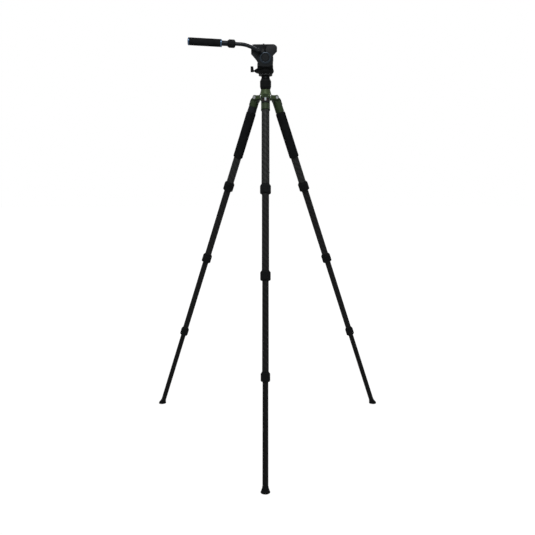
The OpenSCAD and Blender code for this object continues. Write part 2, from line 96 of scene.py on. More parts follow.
PLACE = {leg: leg_place(leg) for leg in LEGS}
PLACE["handle"] = stand(pivot("handle_lock_twist"), Vector((0, 1, 0)).cross(direction("handle_extend")),
                        direction("handle_extend"))
PLACE["column"] = Matrix.Identity(4)
PLACE["tilt"] = stand(pivot("tilt"), Vector((1, 0, 0)), Vector((0, -1, 0)))
for name, place in PLACE.items():
    print(name, [round(v, 4) for v in place.translation])


def along(place, node):
    """Lowest and highest reach of a CAD node along a placement's Z axis, and its largest radius, in mm."""
    back = place.inverted()
    local = [back @ vertex.co / MM for vertex in nodes[node].data.vertices]
    heights = [p.z for p in local]
    return min(heights), max(heights), max(math.hypot(p.x, p.y) for p in local)


def shift(place, x=0.0, y=0.0, z=0.0):
    """A placement moved by some millimetres along its own axes."""
    return place @ Matrix.Translation(Vector((x, y, z)) * MM)

# %% [markdown]
# ## Colour and node helpers
#
# A colour is easiest to compare as the hex code that a paint chart or a screen shows, which is sRGB.
# Blender's shaders want linear values, so one function converts. Another adds a node, fills its inputs and
# links it, so that a material reads from top to bottom like a recipe. Two more begin a material and link
# its last three values, which every finish here has: a colour, a roughness and a bump.

# %% Helpers for materials
MATH, MIX, RANGE, NOISE = "ShaderNodeMath", "ShaderNodeMix", "ShaderNodeMapRange", "ShaderNodeTexNoise"


def linear(code):
    """Linear RGBA of an sRGB hex colour such as #55683a."""
    parts = [int(code[i:i + 2], 16) / 255 for i in (1, 3, 5)]
    return [v / 12.92 if v <= 0.04045 else ((v + 0.055) / 1.055) ** 2.4 for v in parts] + [1]


def add(tree, kind, values=(), **settings):
    """Adds a node, sets its properties, and gives its inputs values or links, by name or in order.

    Returns the first output that is in use."""
    node = tree.nodes.new(kind)
    for name, value in settings.items():
        setattr(node, name, value)
    if isinstance(values, dict):
        pairs = [(node.inputs[name], value) for name, value in values.items()]
    else:
        pairs = list(zip([socket for socket in node.inputs if socket.enabled], values))
    for socket, value in pairs:
        if isinstance(value, bpy.types.NodeSocket):
            tree.links.new(value, socket)
        elif value is not None:
            socket.default_value = value
    return next((socket for socket in node.outputs if socket.enabled), node)


def new_material(name, **fixed):
    """Material with a Principled shader and fixed sockets, and its tree and Object coordinates."""
    material = bpy.data.materials.new(name)
    material.use_nodes = True
    tree = material.node_tree
    for socket, value in fixed.items():
        tree.nodes["Principled BSDF"].inputs[socket.replace("_", " ")].default_value = value
    return material, tree, add(tree, "ShaderNodeTexCoord").node.outputs["Object"]


def coat(material, colour, roughness, height, depth_mm):
    """Links a colour, a roughness and a bump of some millimetres to a material, and returns it."""
    tree = material.node_tree
    surface = tree.nodes["Principled BSDF"].inputs
    bump = add(tree, "ShaderNodeBump", {"Height": height, "Distance": depth_mm * MM})
    for socket, source in (("Base Color", colour), ("Roughness", roughness), ("Normal", bump)):
        tree.links.new(source, surface[socket])
    print("finish", material.name)
    return material

# %% [markdown]
# ## Bead-blasted, anodised aluminium
#
# The shoulder and the leg castings are machined aluminium. Blasting with fine glass beads leaves a satin
# skin with no direction, and the dye of the anodising sits in that skin. It looks like a coloured metal
# with a broad, soft highlight. The grain is about 0.1 mm on the real part; it is drawn at 0.6 mm so that a
# close view shows it. The castings of the legs have the shoulder's finish, and their darker olive is
# painted shade for the lesser light that reaches them. The trim rings are turned and anodised without
# blasting, so they are glossier: blue-grey on the handle's grip, where the lighter colour is painted
# highlight, and nearly black round the tilt cap. Specular levels are low, because the white sky would
# otherwise wash these dark colours out.

# %% Anodised finishes
def anodised(name, dark, light, roughness, metallic, grain_mm, depth_mm, patch_mm=35):
    """Dyed metal that drifts between two shades, with a blasted or turned grain."""
    material, tree, where = new_material(name, Metallic=metallic, Specular_IOR_Level=0.15)
    patches = add(tree, NOISE, {"Vector": where, "Scale": 1000 / patch_mm, "Detail": 3})
    blend = add(tree, RANGE, (patches, 0.35, 0.65, 0, 1))
    colour = add(tree, MIX, (blend, linear(dark), linear(light)), data_type="RGBA")
    grain = add(tree, NOISE, {"Vector": where, "Scale": 1000 / grain_mm, "Detail": 1})
    dull = add(tree, RANGE, (grain, 0, 1, roughness - 0.05, roughness + 0.07))
    return coat(material, colour, dull, grain, depth_mm)


BLASTED = {"grain_mm": 0.6, "depth_mm": 0.02}
TURNED = {"grain_mm": 1.5, "depth_mm": 0.004}
OLIVE = anodised("Anodised_aluminium_olive", "#303c24", "#37442b", 0.48, 0.25, **BLASTED)
# The castings share the shoulder's finish; their darker olive is painted shade.
OLIVE_CAST_PAINTED_SHADE = anodised("Anodised_casting_olive_painted_shade", "#1b2714", "#232f1a", 0.5, 0.15, **BLASTED)
# The grip rings get a lighter blue-grey than the tilt cap's ring as painted highlight.
RING_BLUE_PAINTED_HIGHLIGHT = anodised("Anodised_aluminium_blue_grey_painted_highlight", "#36465a", "#425468", 0.22, 0.9, **TURNED)
RING_DARK = anodised("Anodised_aluminium_blue_black", "#1c2228", "#232a31", 0.3, 0.6, **TURNED)

# %% [markdown]
# ## Black finishes: powder coat, anodised rod, moulded ABS, rubber
#
# The head is cast aluminium with a fine black powder coat: a satin skin with a faint orange peel of about
# 0.7 mm. Its pan housing, its base and the ends of the column are matter, and their deeper black is painted
# shade, since less of the light reaches them. The handle's rod is anodised and shines a little. Levers are
# moulded ABS with a spark-eroded texture, a dark red ABS lines the pockets of the catches, and rubber is
# matter still. The scale of degrees is a pale ink. Low specular levels keep these blacks as deep as they
# are on the object, even under a wide white sky.

# %% Black finishes
def coated(name, dark, light, roughness, grain_mm, depth_mm, specular, metallic=0.0, patch_mm=28):
    """Coated, moulded or printed skin that drifts between two shades, with a fine peel."""
    material, tree, where = new_material(name, Metallic=metallic, Specular_IOR_Level=specular)
    patches = add(tree, NOISE, {"Vector": where, "Scale": 1000 / patch_mm, "Detail": 3})
    blend = add(tree, RANGE, (patches, 0.3, 0.7, 0, 1))
    colour = add(tree, MIX, (blend, linear(dark), linear(light)), data_type="RGBA")
    peel = add(tree, NOISE, {"Vector": where, "Scale": 1000 / grain_mm, "Detail": 2})
    dull = add(tree, RANGE, (peel, 0.3, 0.7, roughness - 0.06, roughness + 0.08))
    return coat(material, colour, dull, peel, depth_mm)


HEAD_BLACK = coated("Powder_coated_aluminium_black", "#17191b", "#1c1e20", 0.42, 0.7, 0.02, 0.05)
# The parts that sit low under the head get this deeper black as painted shade.
PAN_BLACK_PAINTED_SHADE = coated("Cast_aluminium_matt_black_painted_shade", "#0f1011", "#131415", 0.5, 0.7, 0.02, 0.03)
ROD_BLACK = coated("Anodised_rod_black", "#101317", "#15191d", 0.32, 1.5, 0.005, 0.08, 0.1)
ABS_BLACK = coated("Moulded_ABS_black", "#101112", "#151617", 0.45, 0.5, 0.02, 0.05)
RUBBER = coated("Moulded_rubber_black", "#111213", "#161718", 0.6, 0.6, 0.04, 0.03)
LINER_RED = coated("Moulded_ABS_dark_red", "#1f1513", "#271a17", 0.5, 0.5, 0.02, 0.05)
INK_PALE = coated("Printed_ink_pale_grey", "#6f7274", "#7d8082", 0.6, 0.8, 0.01, 0.2)

# %% [markdown]
# ## Closed-cell foam
#
# The grips are sleeves of nitrile foam, cut and lightly skinned. Foam is a field of tiny bubbles: each
# opening traps the light, so it stays nearly black and hardly shines. Real cells are about 0.3 mm wide and
# are drawn at 0.9 mm.

# %% Foam
def foam(name, dark, light, cell_mm, lump_mm, depth_mm):
    """Field of open bubbles with painted shade in its pits, and slow lumps."""
    material, tree, where = new_material(name, Specular_IOR_Level=0.02)
    cells = add(tree, "ShaderNodeTexVoronoi", {"Vector": where, "Scale": 1000 / cell_mm})
    lumps = add(tree, NOISE, {"Vector": where, "Scale": 1000 / lump_mm, "Detail": 3})
    # The pits are made darker as painted shade, where the bubbles' openings trap the light.
    pits = add(tree, MATH, (cells, 0.35, lumps), operation="MULTIPLY_ADD")
    shade = add(tree, RANGE, (pits, 0.35, 0.95, 0, 1))
    colour = add(tree, MIX, (shade, linear(dark), linear(light)), data_type="RGBA")
    return coat(material, colour, add(tree, RANGE, (cells, 0, 1, 0.8, 0.95)), cells, depth_mm)


FOAM = foam("Closed_cell_foam_black", "#101112", "#1a1b1c", cell_mm=0.9, lump_mm=14, depth_mm=0.08)

# %% [markdown]
# ## Turned steel
#
# Screws, pins, the hook and the camera's thread are steel, turned on a lathe and left bright, plated to a
# satin grey or blackened. The metal drifts slowly between two shades and carries fine turning marks about
# 0.1 mm apart, which are drawn at 0.5 mm so that they show. It keeps the default IOR.

# %% Steel
def steel(name, dark, light, roughness, drift_mm=9, mark_mm=0.5, depth_mm=0.008):
    """Turned metal that drifts between two shades, with fine marks."""
    material, tree, where = new_material(name, Metallic=1.0)
    drift = add(tree, NOISE, {"Vector": where, "Scale": 1000 / drift_mm, "Detail": 2})
    colour = add(tree, MIX, (drift, linear(dark), linear(light)), data_type="RGBA")
    marks = add(tree, NOISE, {"Vector": where, "Scale": 1000 / mark_mm, "Detail": 3})
    dull = add(tree, RANGE, (marks, 0.3, 0.7, roughness - 0.06, roughness + 0.1))
    return coat(material, colour, dull, marks, depth_mm)


STEEL = steel("Turned_steel_bright", "#7d8082", "#989b9d", 0.3)
STEEL_GREY = steel("Plated_steel_satin_grey", "#4a4e50", "#5a5e60", 0.42)
SCREW_BLACK = steel("Blackened_steel", "#1a1b1c", "#26282a", 0.38)

# %% [markdown]
# ## Carbon fibre tube
#
# The tubes are rolled from carbon cloth in a two-by-two twill: each flat bundle of fibres, or tow, runs
# over two others and then under two, and each row is shifted by one, which draws diagonal steps. Real tows
# are 2 to 5 mm wide, and 5 mm is taken so that the weave shows. The pattern has to follow a round tube that
# leans with its leg, so the shader turns Object coordinates onto the leg's axis and works out the angle
# round it. The number of tows is a multiple of four, so that the weave closes round the tube with no seam.

# %% Woven tube
TOW_MM = 5.0
ROWS_BELOW = 4000  # added to the count of rows, so that it stays positive down the whole leg
STREAKS = 9  # streaks of fibres across one tow
# The warp tows get the lighter colour as painted sheen, each tow's crown a painted highlight and its edges
# painted shade; the streaks are fibre grain.
WARP_SHEEN_SHARE, CROWN_HIGHLIGHT_SHARE, FIBRE_SHARE = 0.6, 0.25, 0.25


def carbon(name, place, around, warp, weft, depth_mm=0.04):
    """Twill of two shades round a tube's axis, with a number of tows round it.

    The warp's lighter shade is painted sheen, and each tow's lighter crown is a painted highlight.
    """
    material, tree, where = new_material(name, Specular_IOR_Level=0.03)
    local = add(tree, "ShaderNodeMapping", {
        "Vector": where, "Location": place.translation, "Rotation": place.to_euler()}, vector_type="TEXTURE")
    xyz = add(tree, "ShaderNodeSeparateXYZ", (local,)).node.outputs
    turn = add(tree, MATH, (xyz[1], xyz[0]), operation="ARCTAN2")
    across = add(tree, MATH, (turn, around / TAU, around), operation="MULTIPLY_ADD")
    down = add(tree, MATH, (xyz[2], 1000 / TOW_MM, ROWS_BELOW), operation="MULTIPLY_ADD")
    tows, rounds = [], []
    for value in (down, across):
        tows.append(add(tree, MATH, (value,), operation="FLOOR"))
        part = add(tree, MATH, (value,), operation="FRACT")
        part = add(tree, MATH, (part, math.pi), operation="MULTIPLY")
        rounds.append(add(tree, MATH, (part,), operation="SINE"))
    step = add(tree, MATH, (add(tree, MATH, tows, operation="ADD"), 4), operation="MODULO")
    warp_on_top = add(tree, MATH, (step, 1.5), operation="LESS_THAN")
    height = add(tree, MIX, (warp_on_top, *rounds))
    streaks = add(tree, MATH, (across, STREAKS), operation="MULTIPLY")
    fibres = add(tree, NOISE, {
        "Vector": add(tree, "ShaderNodeCombineXYZ", (streaks, down)), "Scale": 1.0, "Detail": 1})
    tone = add(tree, MATH, (height, CROWN_HIGHLIGHT_SHARE), operation="MULTIPLY")
    tone = add(tree, MATH, (warp_on_top, WARP_SHEEN_SHARE, tone), operation="MULTIPLY_ADD")
    tone = add(tree, MATH, (fibres, FIBRE_SHARE, tone), operation="MULTIPLY_ADD")
    blend = add(tree, RANGE, (tone, 0.05, 1.05, 0, 1))
    colour = add(tree, MIX, (blend, linear(weft), linear(warp)), data_type="RGBA")
    return coat(material, colour, add(tree, RANGE, (warp_on_top, 0, 1, 0.4, 0.3)), height, depth_mm)


def tows_round(radius_mm):
    """Tows that fit round a tube, as a multiple of four."""
    return 4 * max(1, round(TAU * radius_mm / TOW_MM / 4))

# %% [markdown]
# ## Rounding the CAD solids
#
# A CAD solid arrives as loose triangles with knife edges. Real castings and mouldings have edges of a few
# tenths of a millimetre that catch the light, and that thin line of light is much of what makes a black
# part readable. The mesh itself stays as it is; a stack of modifiers welds it, clears the flat faces,
# bevels the hard edges, and a small Geometry Nodes tree shades smooth everything flatter than its angle.

# %% Modifiers that soften a CAD solid
def new_tree(name, sockets):
    """Geometry Nodes tree with a Geometry input, the named inputs, and a Geometry output."""
    tree = bpy.data.node_groups.new(name, "GeometryNodeTree")
    tree.interface.new_socket("Geometry", in_out="INPUT", socket_type="NodeSocketGeometry")
    for label, kind in sockets.items():
        tree.interface.new_socket(label, in_out="INPUT", socket_type=f"NodeSocket{kind}")
    tree.interface.new_socket("Geometry", in_out="OUTPUT", socket_type="NodeSocketGeometry")
    return tree, tree.nodes.new("NodeGroupInput").outputs


def set_inputs(modifier, values):
    """Sets a Geometry Nodes modifier's inputs by their identifiers."""
    for item in modifier.node_group.interface.items_tree:
        if item.item_type == "SOCKET" and item.in_out == "INPUT" and item.name in values:
            modifier[item.identifier] = values[item.name]


SHADING, given = new_tree("Shade by angle", {"Angle": "Float"})
bend = add(SHADING, "GeometryNodeInputMeshEdgeAngle")
sharp = add(SHADING, "FunctionNodeCompare", {"A": bend, "B": given["Angle"]}, operation="GREATER_THAN")
edges = add(SHADING, "GeometryNodeSetShadeSmooth", (given["Geometry"], sharp, False), domain="EDGE")
faces = add(SHADING, "GeometryNodeSetShadeSmooth", (edges, True, True), domain="FACE")
add(SHADING, "NodeGroupOutput", (faces,))

WELD_M = 2e-6
FLAT_DEG, HARD_DEG = 0.4, 32  # faces that differ by less are one flat face; edges that bend more are rounded
SMOOTH_DEG, SMOOTH_ROUNDED_DEG = 25, 40


def dress(node, material, edge_mm=0.0):
    """Gives a CAD solid its material, rounded edges and smooth shading."""
    piece = nodes[node]
    for slot in piece.material_slots:
        slot.material = material
    weld = piece.modifiers.new("Weld", "WELD")
    weld.merge_threshold = WELD_M
    if edge_mm:
        clear = piece.modifiers.new("Clear flats", "DECIMATE")
        clear.decimate_type = "DISSOLVE"
        clear.angle_limit = math.radians(FLAT_DEG)
        bevel = piece.modifiers.new("Round edges", "BEVEL")
        bevel.width = edge_mm * MM
        bevel.segments = 2
        bevel.limit_method = "ANGLE"
        bevel.angle_limit = math.radians(HARD_DEG)
        bevel.miter_outer = "MITER_ARC"
    smooth = piece.modifiers.new("Shade by angle", "NODES")
    smooth.node_group = SHADING
    set_inputs(smooth, {"Angle": math.radians(SMOOTH_ROUNDED_DEG if edge_mm else SMOOTH_DEG)})
    print(node, material.name, "edges rounded by", edge_mm, "mm")

# %% [markdown]
# ## A lathe for whatever is turned or moulded round
#
# Twist locks, grips, rings and the thread are all a profile turned round an axis, and many carry finger
# flutes. One Geometry Nodes tree does it: a grid whose columns go round the axis and whose rows step along
# the profile, which is the modifier's own mesh. Flutes are pushed inwards where the profile is near its
# full radius, and their ends fade out, as a ball-nosed cutter would leave them. A thread is the same idea
# with a groove that climbs as it turns.

# %% The lathe tree
LATHE, given = new_tree("Turned profile", {
    "Steps Round": "Int", "Flutes": "Int", "Flute Depth": "Float", "Flute Half Width": "Float",
    "Full Radius": "Float", "Low": "Float", "High": "Float", "Fade": "Float", "Pitch": "Float",
    "Thread Depth": "Float", "Material": "Material"})
full, low, high, fade = (given[label] for label in ("Full Radius", "Low", "High", "Fade"))
points = add(LATHE, "GeometryNodeAttributeDomainSize", (given["Geometry"],))
rows = add(LATHE, MATH, (points, 1), operation="ADD")
columns = add(LATHE, MATH, (given["Steps Round"], 1), operation="ADD")
grid = add(LATHE, "GeometryNodeMeshGrid", (1, 1, columns, rows))
index = add(LATHE, "GeometryNodeInputIndex")
row = add(LATHE, MATH, (add(LATHE, MATH, (index, rows), operation="MODULO"), points), operation="MODULO")
columns_passed = add(LATHE, MATH, (add(LATHE, MATH, (index, 0.5), operation="ADD"), rows), operation="DIVIDE")
column = add(LATHE, MATH, (columns_passed,), operation="FLOOR")
profile_point = add(LATHE, "GeometryNodeSampleIndex", (
    given["Geometry"], add(LATHE, "GeometryNodeInputPosition"), row), data_type="FLOAT_VECTOR")
profile = add(LATHE, "ShaderNodeSeparateXYZ", (profile_point,)).node.outputs
share_round = add(LATHE, MATH, (column, given["Steps Round"]), operation="DIVIDE")
turn = add(LATHE, MATH, (share_round, TAU), operation="MULTIPLY")

# Distance from the middle of the nearest flute, as a share of the flute's half width
flutes_passed = add(LATHE, MATH, (share_round, given["Flutes"], 0.5), operation="MULTIPLY_ADD")
in_flute = add(LATHE, MATH, (flutes_passed,), operation="FRACT")
all_round = add(LATHE, MATH, (full, TAU), operation="MULTIPLY")
flutes = add(LATHE, MATH, (given["Flutes"], 1), operation="MAXIMUM")
one_flute = add(LATHE, MATH, (all_round, flutes), operation="DIVIDE")
aside = add(LATHE, MATH, (in_flute, 0.5), operation="SUBTRACT")
aside = add(LATHE, MATH, (aside, one_flute), operation="MULTIPLY")
aside = add(LATHE, MATH, (aside, given["Flute Half Width"]), operation="DIVIDE")
squared = add(LATHE, MATH, (aside, aside), operation="MULTIPLY")
left_over = add(LATHE, MATH, (1, squared), operation="SUBTRACT")
scoop = add(LATHE, MATH, (add(LATHE, MATH, (left_over, 0), operation="MAXIMUM"),), operation="SQRT")
scoop = add(LATHE, MATH, (scoop, given["Flute Depth"]), operation="MULTIPLY")

# A V groove that climbs by one pitch each turn
pitches_up = add(LATHE, MATH, (profile[2], given["Pitch"]), operation="DIVIDE")
climb = add(LATHE, MATH, (pitches_up, share_round), operation="SUBTRACT")
groove = add(LATHE, MATH, (add(LATHE, MATH, (climb,), operation="FRACT"), 2, -1), operation="MULTIPLY_ADD")
groove = add(LATHE, MATH, (groove,), operation="ABSOLUTE")
groove = add(LATHE, MATH, (groove, given["Thread Depth"]), operation="MULTIPLY")

# Both fade out at their ends, and stay where the profile is near its full radius
CUT_FROM, CUT_FULL = 0.82, 0.95
rising = add(LATHE, RANGE, (profile[2], low, add(LATHE, MATH, (low, fade), operation="ADD"), 0, 1),
             interpolation_type="SMOOTHSTEP")
falling = add(LATHE, RANGE, (profile[2], add(LATHE, MATH, (high, fade), operation="SUBTRACT"), high, 1, 0),
              interpolation_type="SMOOTHSTEP")
outside = add(LATHE, RANGE, (profile[0], add(LATHE, MATH, (full, CUT_FROM), operation="MULTIPLY"),
                             add(LATHE, MATH, (full, CUT_FULL), operation="MULTIPLY"), 0, 1))
reach = add(LATHE, MATH, (rising, falling), operation="MULTIPLY")
reach = add(LATHE, MATH, (reach, outside), operation="MULTIPLY")
cut = add(LATHE, MATH, (add(LATHE, MATH, (scoop, groove), operation="ADD"), reach), operation="MULTIPLY")
radius = add(LATHE, MATH, (profile[0], cut), operation="SUBTRACT")
around = [add(LATHE, MATH, (radius, add(LATHE, MATH, (turn,), operation=wave)), operation="MULTIPLY")
          for wave in ("COSINE", "SINE")]
placed = add(LATHE, "GeometryNodeSetPosition", (
    grid, True, add(LATHE, "ShaderNodeCombineXYZ", (*around, profile[2]))))
closed = add(LATHE, "GeometryNodeMergeByDistance", {"Geometry": placed, "Distance": 1e-6})
real = add(LATHE, "GeometryNodeRealizeInstances", (closed,))
painted = add(LATHE, "GeometryNodeSetMaterial", {"Geometry": real, "Material": given["Material"]})
add(LATHE, "NodeGroupOutput", (painted,))
print("lathe nodes", len(LATHE.nodes))

# %% [markdown]
# ## From a tree to a finished piece
#
# A modifier's result exists only while Blender evaluates the object, and a piece has to be a plain mesh
# that rides on its body. So one function runs a tree and keeps what it made, the next cleans that mesh and
# moves it to its place, and the last says which body it rides and hides the CAD solids that it stands for.
# On top of them, one call turns a profile, and two small ones give a profile its arcs and its straight
# stretches.

# %% Running a tree and keeping its result
SAME_PLACE_M = 1e-7


def link_object(name, data):
    """New object that holds some data, in the scene's own collection."""
    obj = bpy.data.objects.new(name, data)
    bpy.context.scene.collection.objects.link(obj)
    return obj


def grow(name, tree, values, mesh):
    """Runs a tree on a mesh and returns an object that holds the result as a plain mesh."""
    piece = link_object(name, mesh)
    modifier = piece.modifiers.new("Grow", "NODES")
    modifier.node_group = tree
    set_inputs(modifier, values)
    bpy.context.view_layer.update()
    depsgraph = bpy.context.evaluated_depsgraph_get()
    made = bpy.data.meshes.new_from_object(piece.evaluated_get(depsgraph), depsgraph=depsgraph)
    made.name = name
    piece.modifiers.remove(modifier)
    piece.data = made
    return piece


def finish_mesh(piece, place, degrees=35):
    """Turns the faces outwards, marks sharp edges, shades smooth and moves the place into the mesh."""
    shape = bmesh.new()
    shape.from_mesh(piece.data)
    bmesh.ops.remove_doubles(shape, verts=shape.verts, dist=SAME_PLACE_M)
    bmesh.ops.recalc_face_normals(shape, faces=shape.faces)
    bmesh.ops.transform(shape, matrix=place, verts=shape.verts)
    for edge in shape.edges:
        edge.smooth = len(edge.link_faces) == 2 and edge.calc_face_angle() < math.radians(degrees)
    for face in shape.faces:
        face.smooth = True
    shape.to_mesh(piece.data)
    shape.free()
    piece.data.update()
    return piece


def settle(piece, body, slot, *replaced):
    """Rides a finished piece on its body and hides the CAD nodes that it stands for. Its slot is not used."""
    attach(piece, body)
    if replaced:
        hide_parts(*replaced)
    print(piece.name, len(piece.data.polygons), "faces on", body)
    return piece


def turned(name, profile_mm, place, material, steps=96, degrees=35, **cuts_mm):
    """A closed profile of radius and height in millimetres, turned round the placement's Z axis."""
    mesh = bpy.data.meshes.new("profile")
    count = len(profile_mm)
    sides = [(i, (i + 1) % count) for i in range(count)]
    mesh.from_pydata([(r * MM, 0, z * MM) for r, z in profile_mm], sides, [])
    values = {"Steps Round": steps, "Flutes": cuts_mm.pop("flutes", 0), "Material": material,
              "Flute Depth": 0.0, "Flute Half Width": 1.0, "Full Radius": 1.0, "Low": 0.0, "High": 0.0,
              "Fade": 1 * MM, "Pitch": 1.0, "Thread Depth": 0.0}
    values.update({label.replace("_", " ").title(): value * MM for label, value in cuts_mm.items()})
    return finish_mesh(grow(name, LATHE, values, mesh), place, degrees)


def arc(centre, radius, start, end, steps=6):
    """Points of an arc in a profile, with angles in degrees."""
    angles = [math.radians(start + (end - start) * k / steps) for k in range(steps + 1)]
    return [(centre[0] + radius * math.cos(a), centre[1] + radius * math.sin(a)) for a in angles]


def straight(radius, low, high, every):
    """Points up a plain stretch of a profile, without its two ends."""
    count = max(1, round((high - low) / every))
    return [(radius, low + (high - low) * k / count) for k in range(1, count)]

# %% [markdown]
# ## The twist locks
#
# A twist lock is a rubber-covered collar that squeezes a split ring onto the thinner tube. It has a rounded
# lower end, a softer shoulder on top, twelve finger flutes, and a fine groove where the rubber cover meets
# the collar. It is the piece a hand touches most, so it is turned with the lathe and replaces the coarser
# CAD solid. Its bore steps from the wider tube's size down to the thinner one's.

# %% Turn nine leg locks
TUBE_ABOVE_AND_BELOW = {"upper": (28, 25), "middle": (25, 22), "lower": (22, 19)}
STEP_SHARE = 0.37  # where the bore steps, as a share of the lock's length


def lock_profile(bore_top, bore_low, length, full):
    """Profile of a twist lock, with its groove 3.4 mm below the top."""
    step = length * STEP_SHARE
    return (
        [(bore_low + 0.3, 0.5), (bore_low + 0.8, 0), (bore_low + 1.8, 0), (bore_low + 2.2, 0.3)]
        + arc((full - 4, 5), 4, -48, 0, 8)
        + straight(full, 5, length - 8, 1.0)
        + arc((full - 6, length - 8), 6, 0, 40, 6)
        + [(full - 1.9, length - 3.7), (full - 1.9, length - 3.1)]
        + arc((full - 6, length - 8), 6, 54, 66, 2)
        + [(bore_top + 1.4, length - 0.3), (bore_top + 1.0, length), (bore_top + 0.5, length),
           (bore_top + 0.3, length - 0.4), (bore_top + 0.3, step), (bore_low + 0.3, step)])


for leg in LEGS:
    for section, (outer, inner) in TUBE_ABOVE_AND_BELOW.items():
        node = f"{section}_lock_{leg}"
        low, high, full = along(PLACE[leg], node)
        length = high - low
        lock = turned(
            f"twist_lock_{section}_{leg}", lock_profile(outer / 2, inner / 2, length, full),
            shift(PLACE[leg], z=low), RUBBER, steps=240, flutes=12, flute_depth=0.75, flute_half_width=1.6,
            full_radius=full, low=6, high=length - 8.5, fade=2.5)
        settle(lock, f"{section}_lock_ring_{leg}", "lock_rubber", node)

# %% [markdown]
# ## The locks of the column and the handle
#
# These two are the same kind of moulding with other profiles. The column's has eighteen finger flutes and
# the handle's twelve. Each has a bore of two sizes, because it joins a wider part to a thinner one.

# %% Turn the column's lock and the handle's
low, high, full = along(PLACE["column"], "column_lock")
length = high - low
column_lock = turned(
    "column_lock_cover",
    [(15.8, 0.3), (16.0, 0), (16.8, 0), (17.3, 1.4), (18.4, 3.4)] + arc((full - 3, 9.6), 3, -42, 0, 5)
    + straight(full, 9.6, length - 8, 1.0) + arc((full - 3.4, length - 8), 3.4, 0, 58, 6)
    + [(17.8, length - 2.2), (16.9, length - 0.4), (16.4, length), (13.6, length), (13.05, length - 0.5),
       (13.05, 21.3), (15.8, 21.3)],
    shift(PLACE["column"], z=low), RUBBER, steps=288, flutes=18, flute_depth=0.7, flute_half_width=1.5,
    full_radius=full, low=9, high=length - 9.5, fade=2)
settle(column_lock, "column_lock_ring", "lock_rubber", "column_lock")

low, high, full = along(PLACE["handle"], "handle_collar")
length = high - low
handle_lock = turned(
    "handle_lock_cover",
    [(6.8, 0.4), (7.2, 0), (8.2, 0), (9.6, 0.5), (11.8, 1.7)] + arc((full - 3, 5.2), 3, -56, 0, 6)
    + straight(full, 5.2, 21, 0.8) + arc((full - 5, 21), 5, 0, 52, 6)
    + [(11.1, 25.9), (10.6, 27.2), (10.3, length), (9.8, length), (9.5, length - 0.4),
       (9.5, 7.7), (6.8, 7.7)],
    shift(PLACE["handle"], z=low), RUBBER, steps=192, flutes=12, flute_depth=0.7, flute_half_width=1.5,
    full_radius=full, low=4.5, high=22, fade=2)
settle(handle_lock, "handle_lock_ring", "lock_rubber", "handle_collar")

# %% [markdown]
# ## Foam grips
#
# A foam grip is a thick sleeve stretched over its tube. Its ends are cut square and then round over as the
# skin pulls in, and hands leave it very slightly uneven. The lathe gives the sleeve, and a slow noise moves
# its skin in and out by about a fifth of a millimetre.

# %% Three foam grips
LONG_WAVE_M, SHORT_WAVE_M = 0.024, 0.009
WAVE_MM, WAVE_INWARDS = 0.16, 0.6  # height of the waves, and the share of it that pulls the skin inwards


def foam_grip(name, node, place, body, bore, soften):
    """Sleeve of foam in the space of a CAD node, with soft ends."""
    low, high, full = along(place, node)
    length = high - low
    sleeve = turned(
        name,
        [(bore, 0.9), (bore + 0.5, 0.25), (bore + 1.3, 0)]
        + arc((full - soften, soften), soften, -90, 0, 7)
        + straight(full, soften, length - soften, 2.5)
        + arc((full - soften, length - soften), soften, 0, 90, 7)
        + [(bore + 1.3, length), (bore + 0.5, length - 0.25), (bore, length - 0.9)],
        shift(place, z=low), FOAM, steps=96, degrees=60)
    back = place.inverted()
    for vertex in sleeve.data.vertices:
        local = back @ vertex.co
        if math.hypot(local.x, local.y) > (bore + 1.5) * MM:
            outward = place.to_3x3() @ Vector((local.x, local.y, 0)).normalized()
            wave = noise.noise(local * (1 / LONG_WAVE_M)) + 0.5 * noise.noise(local * (1 / SHORT_WAVE_M))
            vertex.co += outward * (wave - WAVE_INWARDS) * WAVE_MM * MM
    settle(sleeve, body, "foam", node)


for leg in ("right", "left"):
    foam_grip(f"foam_sleeve_{leg}", f"leg_grip_{leg}", PLACE[leg], f"leg_{leg}", bore=14.1, soften=2.4)
foam_grip("foam_sleeve_handle", "handle_grip", PLACE["handle"], "handle_slider", bore=9.3, soften=1.8)

# %% [markdown]
# ## Rubber feet
#
# A foot is a cone of hard rubber pushed over the last tube. Three grooves near its sole let it bend and
# grip, and a low bead closes its cuff. The leg leans but the sole lies flat, so the turned foot runs on
# past the floor and is cut off level, and the cut is closed with flat triangles.

# %% Turn the feet and cut them level
SOLE_RADIUS, WAIST_RADIUS, FOOT_HEIGHT = 15.5, 10.8, 17.5
CONE_RADIUS, CONE_LOW, CONE_HIGH = SOLE_RADIUS - 0.7, 2.0, 12.5
GROOVE_DEPTH, GROOVE_LOW, GROOVE_STEP, GROOVES = 0.7, 3.4, 2.6, 3
BELOW_FLOOR = 14


def foot_profile():
    """Profile of a foot: its edge, three grooves up the cone, the bead of its cuff and the bore."""
    slope = (CONE_RADIUS - WAIST_RADIUS) / (CONE_HIGH - CONE_LOW)
    grooves = []
    for k in range(GROOVES):
        z = GROOVE_LOW + GROOVE_STEP * k
        wall = CONE_RADIUS - (z - CONE_LOW) * slope
        floor_low, floor_high = wall - GROOVE_DEPTH - 0.2 * slope, wall - GROOVE_DEPTH - 0.7 * slope
        grooves += [(wall, z), (floor_low, z + 0.25), (floor_high, z + 0.75), (wall - slope, z + 1.0)]
    return (
        [(4, -BELOW_FLOOR), (SOLE_RADIUS, -BELOW_FLOOR), (SOLE_RADIUS, 0.2), (SOLE_RADIUS - 0.25, 1.2),
         (SOLE_RADIUS - 0.9, 2.2)] + grooves
        + [(WAIST_RADIUS, 12.6), (10.3, 14.2), (10.4, 15.2)] + arc((9.75, 16.4), 0.75, -40, 90, 5)
        + [(9.6, 17.3), (9.55, 16.8), (9.55, 4.6), (4, 4.6)])


